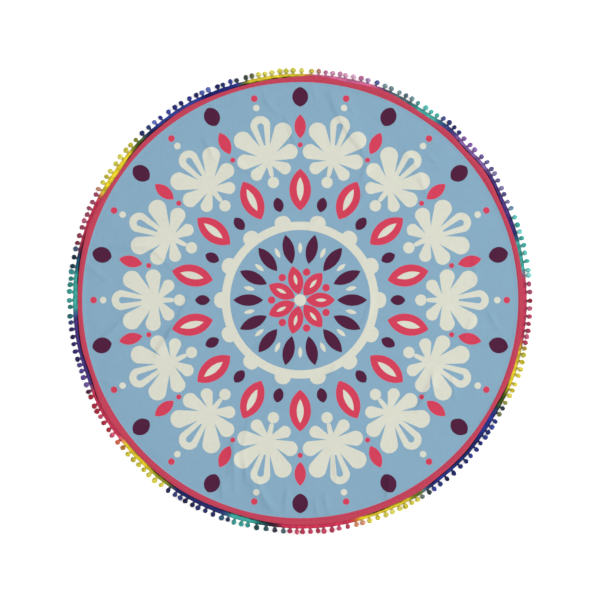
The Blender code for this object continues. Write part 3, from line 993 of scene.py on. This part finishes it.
def new_stem(pompom, colour):
    """A stem of six twisted strands that lies on the surface, from the tape's cord into
    the ball, along +Z."""
    bm = bmesh.new()
    dye = bm.verts.layers.float_color.new("dye")
    ring = bmesh.ops.create_circle(bm, cap_ends=True, segments=STEM_SIDES, radius=0.5)["verts"]
    edges = bm.edges[:]
    rings = [ring]
    while len(rings) < len(STEM_SECTIONS):
        ring, edges = extrude_rim(bm, edges)
        rings.append(ring)
    bmesh.ops.holes_fill(bm, edges=edges)
    for number, (ring, (along, width, height)) in enumerate(zip(rings, STEM_SECTIONS)):
        twist = math.radians(STEM_TWIST_DEG * number)
        for vert in ring:
            turn = angle_of(vert.co)
            furrow = round(turn / (2 * math.pi) * STEM_SIDES) % 2
            reach = 0.5 * (STEM_FURROW if furrow else 1.0)
            # Painted shade in the furrows between strands.
            shade = TUFT_PAINTED_SHADING[0] if furrow else 1.0
            vert.co = (math.cos(turn + twist) * reach * width * pompom.width,
                       (math.sin(turn + twist) * reach + 0.5) * height * pompom.width,
                       along * pompom.length)
            vert[dye] = shaded(colour, shade)
    bmesh.ops.recalc_face_normals(bm, faces=bm.faces[:])
    return bm


def between(ends, share):
    """The value at a share of the way from the first end to the second."""
    return ends[0] + (ends[1] - ends[0]) * share


def new_ball(pompom, colour, luck):
    """A ball of cut yarn that lies on the surface, with its length along +Z. Each of its
    points is the tip of a tuft or a hollow between tufts."""
    bm = bmesh.new()
    dye = bm.verts.layers.float_color.new("dye")
    bmesh.ops.create_icosphere(bm, subdivisions=2, radius=1.0)
    half_long = (BALL_END - BALL_START) / 2 * pompom.length
    half_wide = BALL_WIDTH / 2 * pompom.width
    middle = BALL_START * pompom.length + half_long
    half_high = half_wide * BALL_SAG
    turn = Matrix.Rotation(luck.uniform(0.0, math.pi), 3, "Z")
    for vert in bm.verts:
        tuft = luck.uniform(0.0, 1.0)
        x, y, z = turn @ vert.co * between(TUFTS, tuft)
        vert.co = (x * half_wide, max(y * half_high + half_high, BALL_FOOT),
                   z * half_long + middle)
        # Painted shade in the hollows, painted light on the tips of tufts.
        vert[dye] = shaded(colour, between(TUFT_PAINTED_SHADING, tuft))
    bmesh.ops.recalc_face_normals(bm, faces=bm.faces[:])
    return bm


trim_luck = random.Random(DYEING_SEED)
stem_mesh = bmesh.new()
ball_mesh = bmesh.new()
for pompom in pompoms():
    placed = pompom_frame(pompom)
    hung = pompom.angle + trim_luck.uniform(-HUNG_ASTRAY, HUNG_ASTRAY)
    colour = dye_at(hung, "balls", trim_luck.uniform(*SOAKED))
    add_placed(stem_mesh, new_stem(pompom, dye_at(pompom.angle, "balls")), placed)
    add_placed(ball_mesh, new_ball(pompom, colour, trim_luck), placed)

YARN_FIBRES = Mottle(1500.0, 0.5, 3.0, 0.7)
YARN_ENDS = 620.0           # how many cut ends show on a metre
YARN_DRIFT = 0.0007         # how far they stray from even rows, at YARN_DRIFT_GRAINS
YARN_DRIFT_GRAINS = 700.0
# Painted light on the cut ends, and painted shade in the gaps between them.
YARN_END_PAINTED_LIGHT = 1.54           # how light a cut end is, which makes up for the gaps
YARN_GAP_PAINTED_SHADE = 0.75           # how much darker it is between the ends
YARN_DEPTH = 0.0016

yarn_finish = Finish("dyed_yarn", roughness=0.9, sheen=0.15)
spot = yarn_finish.place()
drift = yarn_finish.node("ShaderNodeTexNoise", inputs={
    "Vector": spot, "Scale": YARN_DRIFT_GRAINS}, output="Color")
strayed = yarn_finish.node("ShaderNodeVectorMath", {"operation": "ADD"},
                           (spot, yarn_finish.shade(drift, YARN_DRIFT)))
from_end = yarn_finish.node("ShaderNodeTexVoronoi", {"feature": "F1"},
                            {"Vector": strayed, "Scale": YARN_ENDS}, output="Distance")
tufts = yarn_finish.mottle(spot, YARN_FIBRES) - from_end
yarn_dye_and_painted_shade = stored(yarn_finish, "dye", "Color")
# The dye with the tufts' painted shade, plus painted light on the cut ends and painted shade
# between them.
yarn_colour = yarn_finish.shade(yarn_dye_and_painted_shade, tufts * YARN_GAP_PAINTED_SHADE + YARN_END_PAINTED_LIGHT)
yarn_finish.finish(yarn_colour, tufts, YARN_DEPTH)

stems = new_piece("pompom_stems", stem_mesh, [yarn_finish.material])
balls = new_piece("pompom_balls", ball_mesh, [yarn_finish.material])
for piece in (stems, balls):
    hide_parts("pompom_trim")

# ------------------------------------------------------------------- FLOOR, LIGHT, CAMERA
# A plain white floor, lit a little from below, an even sky and one large soft lamp from
# the right, which shows the creases. The camera looks straight down through a long lens.

FLOOR_SIZE = 14.0
FLOOR_DROP = 0.0004         # how far under the towel its surface lies
FLOOR_COLOUR = linear(247, 247, 247)
FLOOR_GLOW = 0.24           # of the lit table under it, which takes off the shadows
WHITE = (1.0, 1.0, 1.0, 1.0)
floor_mesh = bmesh.new()
bmesh.ops.create_grid(floor_mesh, x_segments=2, y_segments=2, size=FLOOR_SIZE / 2)
for vert in floor_mesh.verts:
    vert.co.z = -FLOOR_DROP
floor_finish = Finish("pale_floor", roughness=0.8, specular=0.1)
floor_finish.shader.inputs["Base Color"].default_value = FLOOR_COLOUR
floor_finish.shader.inputs["Emission Color"].default_value = WHITE
floor_finish.shader.inputs["Emission Strength"].default_value = FLOOR_GLOW
floor = new_object("floor", floor_mesh, [floor_finish.material], smooth=False)

SKY_STRENGTH = 1.00
sky = bpy.data.worlds.new("even_sky")
sky.use_nodes = True
sky.node_tree.nodes["Background"].inputs["Color"].default_value = WHITE
sky.node_tree.nodes["Background"].inputs["Strength"].default_value = SKY_STRENGTH
bpy.context.scene.world = sky

LAMP_PLACE = Vector((12.5, 3.4, 10.0))
LAMP_SIZE = 6.0
LAMP_POWER = 1400.0
lamp_data = bpy.data.lights.new("soft_lamp", "AREA")
lamp_data.shape = "DISK"
lamp_data.size = LAMP_SIZE
lamp_data.energy = LAMP_POWER
lamp = bpy.data.objects.new("soft_lamp", lamp_data)
lamp.location = LAMP_PLACE
lamp.rotation_mode = "QUATERNION"
lamp.rotation_quaternion = (-LAMP_PLACE).to_track_quat("-Z", "Y")
bpy.context.scene.collection.objects.link(lamp)

PIXEL = 0.00335             # metres of towel in a pixel of the view
VIEW_PIXELS = 600           # it is square
VIEW_MIDDLE_PX = (-0.2, 1.0)    # the view's middle from the towel's, right and up
CAMERA_HEIGHT = 12.0
SENSOR_MM = 36.0
camera_data = bpy.data.cameras.new("camera")
camera_data.sensor_width = SENSOR_MM
camera_data.lens = SENSOR_MM * CAMERA_HEIGHT / (VIEW_PIXELS * PIXEL)
camera = bpy.data.objects.new("camera", camera_data)
camera.location = (VIEW_MIDDLE_PX[0] * PIXEL, VIEW_MIDDLE_PX[1] * PIXEL, CAMERA_HEIGHT)
bpy.context.scene.collection.objects.link(camera)
bpy.context.scene.camera = camera
bpy.context.scene.view_settings.view_transform = "Standard"
